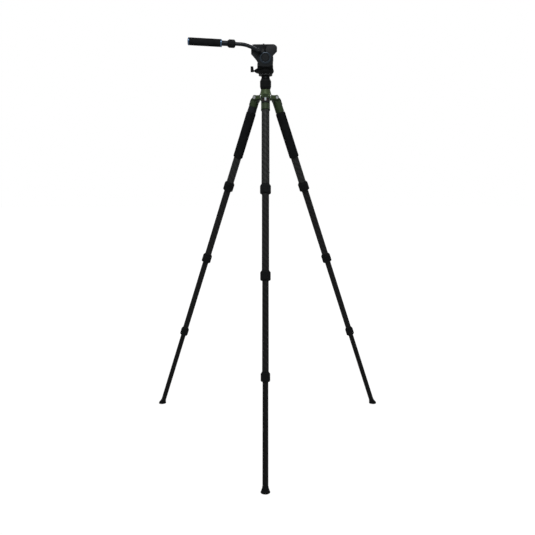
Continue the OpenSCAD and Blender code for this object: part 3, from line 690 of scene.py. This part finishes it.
for leg in LEGS:
    node = f"foot_{leg}"
    top = along(PLACE[leg], node)[1]
    foot = turned(f"rubber_foot_{leg}", foot_profile(), shift(PLACE[leg], z=top - FOOT_HEIGHT), RUBBER,
                  steps=96, degrees=30)
    shape = bmesh.new()
    shape.from_mesh(foot.data)
    everything = shape.verts[:] + shape.edges[:] + shape.faces[:]
    made = bmesh.ops.bisect_plane(shape, geom=everything, dist=SAME_PLACE_M, plane_co=(0, 0, 0),
                                  plane_no=(0, 0, 1), clear_inner=True)
    rims = [item for item in made["geom_cut"] if isinstance(item, bmesh.types.BMEdge)]
    bmesh.ops.triangle_fill(shape, edges=rims, use_beauty=True)
    bmesh.ops.recalc_face_normals(shape, faces=shape.faces)
    for edge in rims:
        edge.smooth = False
    shape.to_mesh(foot.data)
    shape.free()
    settle(foot, f"section_4_{leg}", "lock_rubber", node)

# %% [markdown]
# ## Screws, from one stack of rings
#
# A socket screw's head is a stack of rings: up the side, over a small chamfer, in to the edge of its socket
# and down into it. The last rings follow the socket's outline instead of a circle. One function skins such
# a stack, and the same function later makes ribs and bars, whose rings are rounded rectangles.

# %% Skinning a stack of rings
def skin(name, rings_mm):
    """Mesh through rings that all have the same number of points, closed by a face at each end."""
    shape = bmesh.new()
    loops = [[shape.verts.new(Vector(point) * MM) for point in ring] for ring in rings_mm]
    count = len(loops[0])
    for lower, upper in zip(loops, loops[1:]):
        for k in range(count):
            shape.faces.new((lower[k], lower[(k + 1) % count], upper[(k + 1) % count], upper[k]))
    shape.faces.new(loops[0])
    shape.faces.new(loops[-1])
    bmesh.ops.recalc_face_normals(shape, faces=shape.faces)
    mesh = bpy.data.meshes.new(name)
    shape.to_mesh(mesh)
    shape.free()
    return mesh


def hexagon(a):
    """Radius of a hexagon in the direction a, where its flats are 2 apart."""
    return 1 / math.cos(a % (TAU / 6) - TAU / 12)


def slot(a):
    """Radius of a slot in the direction a, 2 wide and 14 long."""
    return min(1 / max(abs(math.sin(a)), 1e-6), 7 / max(abs(math.cos(a)), 1e-6))


def screw_head(name, radius, height, opening, depth, outline=hexagon, steps=48):
    """Screw head that rises along +Z from its seat. Its socket or slot is opening wide across flats."""
    def ring(size, z, shape=lambda a: 1.0):
        return [(size * shape(a) * math.cos(a), size * shape(a) * math.sin(a), z)
                for a in (TAU * k / steps for k in range(steps))]

    chamfer = 0.12 * radius
    return skin(name, [
        ring(radius, 0), ring(radius, height - chamfer), ring(radius - 0.3 * chamfer, height - 0.3 * chamfer),
        ring(radius - chamfer, height), ring(opening / 2 + 0.12, height, outline),
        ring(opening / 2, height - 0.12, outline), ring(opening / 2, height - depth, outline)])


def bar_mesh(name, length, width, height, rounding, steps=3):
    """Bar along X that lies on z = 0, with its upper edges and its ends rounded."""
    def ring(x, inset):
        y, z = width / 2 - inset, height - inset
        corner = arc((y - rounding, z - rounding), rounding, 0, 90, steps)
        outline = [(y, 0)] + corner + [(-across, up) for across, up in reversed(corner)] + [(-y, 0)]
        return [(x, across, up) for across, up in outline]

    tip = length / 2
    ends = [(tip, 0.7), (tip - 0.3 * rounding, 0.2), (tip - rounding, 0.0)]
    return skin(name, [ring(-x, inset * rounding) for x, inset in ends]
                + [ring(x, inset * rounding) for x, inset in reversed(ends)])

# %% [markdown]
# ## Rows and rings of copies
#
# Many small things repeat: ribs on the plate's pads, ticks round the base, screws at equal angles. One
# Geometry Nodes tree places them. It makes a line of points, moves each one by a step and turns it about Z,
# and sets the modifier's own mesh on every point.

# %% The copies tree
COPIES, given = new_tree("Row or ring of copies", {
    "Count": "Int", "Start": "Vector", "Step": "Vector", "Turn": "Float", "Material": "Material"})
line = add(COPIES, "GeometryNodeMeshLine", (given["Count"], given["Start"], given["Step"]), mode="OFFSET")
angle = add(COPIES, MATH, (add(COPIES, "GeometryNodeInputIndex"), given["Turn"]), operation="MULTIPLY")
swung = add(COPIES, "ShaderNodeVectorRotate", {
    "Vector": add(COPIES, "GeometryNodeInputPosition"), "Angle": angle}, rotation_type="Z_AXIS")
spots = add(COPIES, "GeometryNodeSetPosition", (line, True, swung))
heading = add(COPIES, "ShaderNodeCombineXYZ", (0, 0, angle))
copies = add(COPIES, "GeometryNodeInstanceOnPoints", {
    "Points": spots, "Instance": given["Geometry"],
    "Rotation": add(COPIES, "FunctionNodeEulerToRotation", (heading,))})
real = add(COPIES, "GeometryNodeRealizeInstances", (copies,))
painted = add(COPIES, "GeometryNodeSetMaterial", {"Geometry": real, "Material": given["Material"]})
add(COPIES, "NodeGroupOutput", (painted,))
print("copies nodes", len(COPIES.nodes))


def repeat(name, mesh, place, material, count, start=(0, 0, 0), step=(0, 0, 0), turn=0.0, degrees=35):
    """Copies of a mesh in a row or a ring, in millimetres and degrees, placed by a matrix."""
    values = {"Count": count, "Start": [v * MM for v in start], "Step": [v * MM for v in step],
              "Turn": math.radians(turn), "Material": material}
    return finish_mesh(grow(name, COPIES, values, mesh), place, degrees)

# %% [markdown]
# ## The camera's screw
#
# Cameras take a quarter-inch screw with twenty turns to the inch, so its thread climbs 1.27 mm each turn. A
# plain rod would look like a pin, so the groove is cut for real by the lathe. Its slotted head sits under
# the plate.

# %% Thread and head
THREAD_RADIUS, THREAD_PITCH = 3.175, 1.27
PLACE["screw"] = Matrix.Translation(Vector((*pivot("camera_screw_turn").xy, 0)))
low, high, full = along(PLACE["screw"], "camera_screw")
shank = turned(
    "camera_screw_thread",
    [(0, low + 2.5), (2.6, low + 2.5), (2.6, low + 4.5)]
    + straight(THREAD_RADIUS, low + 4.5, high - 0.5, 0.12)
    + [(THREAD_RADIUS, high - 0.5), (THREAD_RADIUS - 0.5, high), (0, high)],
    PLACE["screw"], STEEL_GREY, steps=64, full_radius=THREAD_RADIUS, low=low + 4.4, high=high + 2, fade=0.8,
    pitch=THREAD_PITCH, thread_depth=0.55)
settle(shank, "screw", "steel", "camera_screw")
flip = Matrix.Rotation(math.pi, 4, "X")
slotted = screw_head("slotted", full, height=3.0, opening=1.6, depth=1.0, outline=slot, steps=96)
head = repeat("camera_screw_head", slotted, shift(PLACE["screw"], z=low + 3.0) @ flip, STEEL_GREY, 1)
settle(head, "screw", "steel")

# %% [markdown]
# ## The plate's rubber pads
#
# A camera rests on two strips of rubber with rounded ribs, which give way a little and stop it turning.
# Each strip is a thin base with a row of six bars.

# %% Pads and their ribs
(x0, _, z0), (x1, _, _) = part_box("plate_pads")
pad_length, PAD_WIDTH, PAD_SPACING = (x1 - x0) / MM, 13.0, 29.0
PAD_RIBS, RIB_SPACING = 6, 2.12
pad_place = Matrix.Translation(((x0 + x1) / 2, 0, z0))
base = bar_mesh("base", pad_length, PAD_WIDTH, height=0.7, rounding=0.3)
bases = repeat("pad_bases", base, pad_place, RUBBER, 2,
               start=(0, -PAD_SPACING / 2, 0), step=(0, PAD_SPACING, 0))
settle(bases, "plate", "lock_rubber", "plate_pads")
for side, label in ((-1, "near"), (1, "far")):
    rib = bar_mesh("rib", pad_length - 1, 1.3, height=0.75, rounding=0.55)
    first = side * PAD_SPACING / 2 - (PAD_RIBS - 1) / 2 * RIB_SPACING
    ribs = repeat(f"pad_ribs_{label}", rib, shift(pad_place, z=0.55), RUBBER, PAD_RIBS,
                  start=(0, first, 0), step=(0, RIB_SPACING, 0))
    settle(ribs, "plate", "lock_rubber")

# %% [markdown]
# ## The angle stops
#
# Each leg's spring catch has a plated wear rib down its middle, which the thumb pulls, and a pocket of dark
# red plastic on either side of it. They lie flat on the catch, so each is a rounded bar in the leg's own
# placement.

# %% Ribs and pocket liners of the catches
STOP_FROM, STOP_TO, STOP_FACE, POCKET_FLOOR = 10.5, 28.5, 17.0, 13.6
RIB_SUNK, LINER_SUNK, POCKET_ASIDE = 0.72, 0.05, 6.7
LYING_ON_FACE = Matrix(((0, 0, 1, 0), (0, 1, 0, 0), (-1, 0, 0, 0), (0, 0, 0, 1)))
for leg in LEGS:
    middle = shift(PLACE[leg], z=-(STOP_FROM + STOP_TO) / 2)
    rib = bar_mesh("rib", length=12.4, width=6.8, height=0.9, rounding=0.3)
    rib = repeat(f"catch_rib_{leg}", rib, shift(middle, x=STOP_FACE - RIB_SUNK) @ LYING_ON_FACE,
                 STEEL_GREY, 1)
    settle(rib, f"stop_{leg}", "steel")
    liner = bar_mesh("liner", length=11.6, width=5.6, height=0.3, rounding=0.12)
    liners = repeat(f"catch_liners_{leg}", liner, shift(middle, x=POCKET_FLOOR - LINER_SUNK) @ LYING_ON_FACE,
                    LINER_RED, 2, start=(0, -POCKET_ASIDE, 0), step=(0, 2 * POCKET_ASIDE, 0))
    settle(liners, f"stop_{leg}", "black_plastic")

# %% [markdown]
# ## The tilt cap and its ring
#
# The near end of the tilt shaft wears a plain black cap inside a blue-black trim ring. The ring's outer
# slope is rounded, so its upper part faces the light and shows one soft arc. Both are turned parts, made
# with the lathe.

# %% Turn the cap and the ring
low, high, full = along(PLACE["tilt"], "tilt_cap")
height = high - low
cap = turned(
    "tilt_cap_disc",
    [(0, 0), (full, 0), (full, height - 1.2)] + arc((full - 1.2, height - 1.2), 1.2, 15, 90, 4)
    + [(full - 2.2, height), (full - 2.5, height - 0.35), (full - 3.1, height - 0.35),
       (full - 3.4, height - 0.05), (full - 8, height - 0.05), (0, height - 0.05)],
    shift(PLACE["tilt"], z=low), HEAD_BLACK, steps=128, degrees=30)
settle(cap, "cradle", "black_plastic", "tilt_cap")
low, high, full = along(PLACE["tilt"], "tilt_cap_ring")
height = high - low
SLOPE_STEPS = 5
slope = [(full - 0.3 - (full - 16.6) * k / SLOPE_STEPS,
          1.3 + (height - 1.5) * math.sin(math.pi / 2 * k / SLOPE_STEPS) ** 0.9)
         for k in range(1, SLOPE_STEPS + 1)]
ring = turned(
    "tilt_ring",
    [(14.25, 0.1), (full, 0.1), (full, 0.9), (full - 0.3, 1.3)] + slope
    + [(15.6, height), (14.9, height - 0.3), (14.5, height - 0.9), (14.25, height - 1.6)],
    shift(PLACE["tilt"], z=low), RING_DARK, steps=160, degrees=40)
settle(ring, "cradle", "blue_anodised", "tilt_cap_ring")

# %% [markdown]
# ## Small screws and marks
#
# Two cap screws hold the cheek, three grub screws lock the head onto the column's top plate, and another
# holds the shoulder's bush. The head's base carries a ring of fine ticks for panoramas, one every five
# degrees and a longer one every thirty. They are small, but they tell the eye how big everything is.

# %% Screws and ticks in rings and rows
OUTWARD = Matrix.Rotation(math.pi / 2, 4, "Y")
TO_FRONT = Matrix.Rotation(-math.pi / 2, 4, "Z")
CHEEK_RECESS, GRUB_SUNK, TICK_SUNK = 36.4, 0.45, 0.06
cap_screw = screw_head("cap", radius=1.85, height=1.3, opening=1.6, depth=0.8)
cheek_screws = repeat("cheek_screws", cap_screw, shift(PLACE["tilt"], z=CHEEK_RECESS), SCREW_BLACK, 2,
                      start=(-44.5, 19, 0), step=(0, 16, 0))
settle(cheek_screws, "cradle", "steel")


def grub_screws(name, radius, z, count, body):
    """Grub screws that look outwards from a round part, at equal angles, the first one at the front."""
    mesh = screw_head("grub", radius=2.0, height=0.8, opening=1.7, depth=0.7)
    mesh.transform(OUTWARD)
    screws = repeat(name, mesh, TO_FRONT, STEEL_GREY, count,
                    start=(radius - GRUB_SUNK, 0, z), turn=360 / count)
    settle(screws, body, "steel")


base_low, _, base_radius = along(PLACE["column"], "head_base")
grub_screws("top_plate_screws", radius=14.8, z=base_low - 4.6, count=3, body="column")
grub_screws("bush_screw", radius=17.9, z=base_low - 55.5, count=1, body="shoulder")

TICKS_TOP = base_low + 5.5
for label, degrees, length in (("five_degree_ticks", 5, 1.8), ("thirty_degree_ticks", 30, 3.2)):
    tick = bar_mesh("tick", length, width=0.32, height=0.14, rounding=0.05)
    tick.transform(OUTWARD)
    ticks = repeat(label, tick, TO_FRONT, INK_PALE, 360 // degrees,
                   start=(base_radius - TICK_SUNK, 0, TICKS_TOP - length / 2), turn=degrees)
    settle(ticks, "column", "black_alloy")

# %% [markdown]
# ## Finishes on the CAD solids
#
# Every solid that stays gets its real finish here. The tubes carry the weave, and in each leg a thinner
# section is given a darker colour than the one above it, as painted shade for the light that falls off
# down the leg. Turned and cast parts get their edges rounded by 0.3 to 0.6 mm, while tubes and rods are
# left as they are.

# %% Materials on the CAD solids
# Each pair is warp then weft. The tones darken down each leg as painted shade, and the warp's lighter tone is
# painted sheen.
TUBE_TONES_PAINTED_SHADE_AND_SHEEN = {"upper_tube": ("#303130", "#1f2020"), "second_tube": ("#272727", "#19191a"),
              "third_tube": ("#222222", "#161717"), "lower_tube": ("#1b1b1b", "#121313")}
for leg in LEGS:
    for tube, tones in TUBE_TONES_PAINTED_SHADE_AND_SHEEN.items():
        radius = along(PLACE[leg], f"{tube}_{leg}")[2]
        dress(f"{tube}_{leg}", carbon(f"Carbon_twill_{tube}_{leg}", PLACE[leg], tows_round(radius), *tones))
    dress(f"casting_{leg}", OLIVE_CAST_PAINTED_SHADE, 0.5)
    dress(f"angle_stop_{leg}", ABS_BLACK, 0.4)
column_radius = along(PLACE["column"], "column_tube")[2]
dress("column_tube", carbon("Carbon_twill_column", PLACE["column"], tows_round(column_radius),
                            "#262626", "#18191a"))
FINISHES = (
    (OLIVE, 0.6, ("spider",)),
    (HEAD_BLACK, 0.6, ("tilt_cradle",)),
    (HEAD_BLACK, 0.3, ("plate_jaw", "quick_plate", "monopod_collar")),
    (PAN_BLACK_PAINTED_SHADE, 0.6, ("pan_housing",)),
    (PAN_BLACK_PAINTED_SHADE, 0.3, ("head_base", "column_top_plate", "column_end_cap")),
    (ABS_BLACK, 0.3, ("tilt_lever", "pan_lever", "clamp_lever")),
    (ROD_BLACK, 0.0, ("handle_tube", "handle_arm")),
    (RING_BLUE_PAINTED_HIGHLIGHT, 0.3, ("handle_grip_rings",)),
    (SCREW_BLACK, 0.3, ("handle_bolt",)),
    (STEEL_GREY, 0.3, ("tilt_shaft", "handle_rosette")),
    (STEEL, 0.3, ("hinge_pins", "bag_hook")))
for material, edge_mm, solids in FINISHES:
    for node in solids:
        dress(node, material, edge_mm)

# %% [markdown]
# ## The camera
#
# The camera stands 2.5 m away and about a metre up and looks slightly down, with a lens of normal length.
# It is turned by its heading, pitch and roll, from which a matrix is made whose columns are its right, up
# and backward directions.

# %% The camera
CAMERA_AT = Vector((24.94, -2489.78, 1036.70)) * MM
HEADING = Vector((-0.01004, 0.99995, 0)).normalized()
PITCH_DOWN, ROLL = math.radians(9.231), math.radians(-0.2059)
SENSOR_MM, LENS_MM, SHIFT_SHARE = 36, 45.07536, 0.00237

flat_right = HEADING.cross(Vector((0, 0, 1)))
forward = HEADING * math.cos(PITCH_DOWN) - Vector((0, 0, math.sin(PITCH_DOWN)))
flat_up = flat_right.cross(forward)
right = flat_right * math.cos(ROLL) + flat_up * math.sin(ROLL)
up = flat_up * math.cos(ROLL) - flat_right * math.sin(ROLL)
camera_data = bpy.data.cameras.new("Camera")
camera_data.sensor_width = SENSOR_MM
camera_data.lens = LENS_MM
camera_data.shift_x = SHIFT_SHARE
camera = link_object("Camera", camera_data)
camera.matrix_world = Matrix.Translation(CAMERA_AT) @ Matrix((right, up, -forward)).transposed().to_4x4()
bpy.context.scene.camera = camera
print("camera", [round(v, 3) for v in CAMERA_AT], "lens", LENS_MM, "mm")

# %% [markdown]
# ## Floor and sky
#
# The object stands on white paper in a white studio. To the camera and to reflections the world is plain
# white, while the light that it sends onto the object stays moderate. The floor glows white in the same
# way, with some plain paper mixed in, so that it still keeps the object's shadow. The paper is lit less and
# less away from the lamps, so its glow grows with the distance from the object, and no grey horizon shows.

# %% White floor and world
def seen_white(tree):
    """1 for camera, glossy and transmission rays, which see the plain white background."""
    rays = add(tree, "ShaderNodeLightPath").node.outputs
    mirrored = add(tree, MATH, (rays["Is Glossy Ray"], rays["Is Transmission Ray"]), operation="MAXIMUM")
    return add(tree, MATH, (rays["Is Camera Ray"], mirrored), operation="MAXIMUM")


WHITE, PAPER = linear("#ffffff"), linear("#f4f4f4")
SKY_LIGHT, FLOOR_GLOW_SHARE, FLOOR_REACH = 0.25, 0.86, 12
GLOW_FROM, GLOW_TO = 0.9, 2.6  # distances in metres between which the glow grows
GLOW_NEAR, GLOW_FAR = 1.1, 1.19
world = bpy.data.worlds.new("Studio")
bpy.context.scene.world = world
world.use_nodes = True
tree = world.node_tree
tree.nodes.clear()
sky = add(tree, "ShaderNodeMixShader", (
    seen_white(tree), add(tree, "ShaderNodeBackground", {"Color": WHITE, "Strength": SKY_LIGHT}),
    add(tree, "ShaderNodeBackground", {"Color": WHITE, "Strength": 1.0})))
add(tree, "ShaderNodeOutputWorld", {"Surface": sky})

floor_mesh = bpy.data.meshes.new("floor")
corners = [(x * FLOOR_REACH, y * FLOOR_REACH, 0) for x, y in ((-1, -1), (1, -1), (1, 1), (-1, 1))]
floor_mesh.from_pydata(corners, [], [(0, 1, 2, 3)])
floor = link_object("floor", floor_mesh)
paper = bpy.data.materials.new("Floor_paper_white")
paper.use_nodes = True
tree = paper.node_tree
tree.nodes.clear()
glow_share = add(tree, MATH, (seen_white(tree), FLOOR_GLOW_SHARE), operation="MULTIPLY")
where = add(tree, "ShaderNodeTexCoord").node.outputs["Object"]
distance = add(tree, "ShaderNodeVectorMath", {0: where}, operation="LENGTH").node.outputs["Value"]
glow = add(tree, RANGE, (distance, GLOW_FROM, GLOW_TO, GLOW_NEAR, GLOW_FAR))
lit = add(tree, "ShaderNodeMixShader", (
    glow_share, add(tree, "ShaderNodeBsdfDiffuse", {"Color": PAPER}),
    add(tree, "ShaderNodeEmission", {"Color": WHITE, "Strength": glow})))
add(tree, "ShaderNodeOutputMaterial", {"Surface": lit})
floor_mesh.materials.append(paper)
print("floor", 2 * FLOOR_REACH, "m wide, glow", GLOW_NEAR, "to", GLOW_FAR)

# %% [markdown]
# ## Light
#
# A soft box high in front is the key light: it falls on the front leg, the cheeks and the castings, and
# leaves the undersides dark. A weak fill in front on the right and a large box above and behind keep the
# edges readable.

# %% Soft boxes
def soft_box(name, at, aim, size, power):
    """Square area lamp that points at a place."""
    lamp = bpy.data.lights.new(name, "AREA")
    lamp.shape, lamp.size, lamp.energy = "SQUARE", size, power
    obj = link_object(name, lamp)
    obj.location = at
    obj.rotation_euler = (Vector(aim) - Vector(at)).to_track_quat("-Z", "Y").to_euler()


# Where each stands, what it points at, its width in metres and its power in watts
SOFT_BOXES = {"Key": ((-0.1, -1.15, 2.35), (0, 0, 1.15), 0.7, 21),
              "Fill": ((1.2, -2.6, 1.3), (0, 0, 0.8), 1.2, 5),
              "Back": ((0.6, 1.9, 2.5), (0, 0, 1.0), 1.2, 28)}
for name, box in SOFT_BOXES.items():
    soft_box(name, *box)
print("soft boxes", *SOFT_BOXES)

# %% [markdown]
# ## The view transform
#
# The view transform is set to Standard, which shows the colours as they were chosen.

# %% The view transform
bpy.context.scene.view_settings.view_transform = "Standard"
